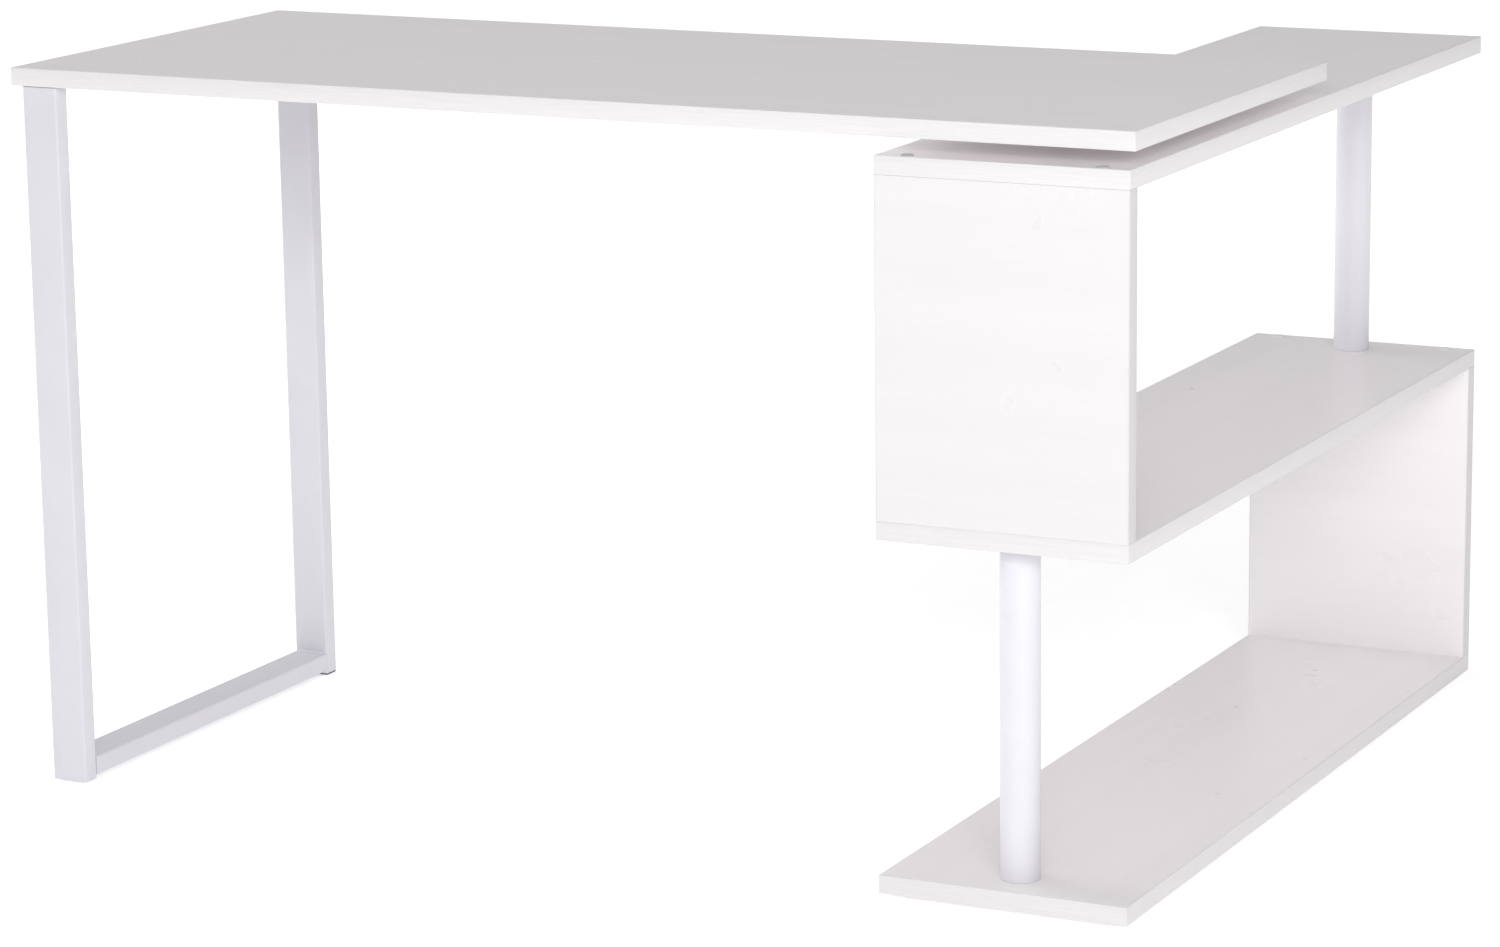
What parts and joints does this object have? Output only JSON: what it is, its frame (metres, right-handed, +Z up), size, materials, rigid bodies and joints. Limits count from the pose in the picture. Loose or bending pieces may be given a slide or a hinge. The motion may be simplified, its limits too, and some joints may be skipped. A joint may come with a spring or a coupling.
{
  "type": "corner desk",
  "caption": "L-shaped corner desk: a white desktop on a steel leg frame swivels over a narrow S-shaped shelf unit with round posts.",
  "frame": {"origin": "on the floor under the middle of the whole desk's bounding box", "axes": "+X along the desktop towards the shelf unit, +Y along the shelf unit away from the user, +Z up"},
  "size_m": [1.2, 1, 0.735],
  "materials": {
    "white_melamine": "satin white melamine-faced chipboard",
    "edge_band": "satin white plastic edge banding with a fine lengthwise grain",
    "white_powder_coat": "semi-gloss cool white powder coat on steel tube",
    "zinc_plated_steel": "bright zinc plate",
    "black_rubber": "matt black rubber",
    "grey_plastic": "moulded grey plastic",
    "nylon": "natural moulded nylon",
    "beech": "plain beech dowel"
  },
  "bodies": {
    "shelf_unit": {"bottom_board": "white_melamine", "middle_board": "white_melamine", "top_board": "white_melamine", "front_panel": "white_melamine", "rear_panel": "white_melamine", "bottom_board_banding": "edge_band", "middle_board_banding": "edge_band", "top_board_banding": "edge_band", "front_panel_banding": "edge_band", "rear_panel_banding": "edge_band", "lower_post": "white_powder_coat", "upper_post": "white_powder_coat", "post_sockets": "grey_plastic", "post_socket_screws": "zinc_plated_steel", "panel_screws": "zinc_plated_steel", "panel_dowels": "beech", "screw_caps": "edge_band", "floor_glides": "nylon", "glide_screws": "zinc_plated_steel", "swivel_base_plate": "zinc_plated_steel", "base_plate_screws": "zinc_plated_steel", "slip_ring": "nylon", "pivot_bush": "nylon"},
    "desk": {"desktop": "white_melamine", "desktop_banding": "edge_band", "swivel_top_plate": "zinc_plated_steel", "top_plate_screws": "zinc_plated_steel", "pivot_pin": "zinc_plated_steel", "pivot_washer": "zinc_plated_steel", "pivot_lock_nut": "zinc_plated_steel", "front_leg": "white_powder_coat", "rear_leg": "white_powder_coat", "floor_rail": "white_powder_coat", "leg_plugs": "grey_plastic", "top_bar": "white_powder_coat", "top_bar_screws": "zinc_plated_steel", "foot_pads": "black_rubber"}
  },
  "joints": [
    {"name": "desk_swivel", "type": "hinge", "parent": "shelf_unit", "child": "desk", "pos_m": [0.475, -0.238, 0.708], "axis": [0, 0, 1], "continuous": true}
  ]
}
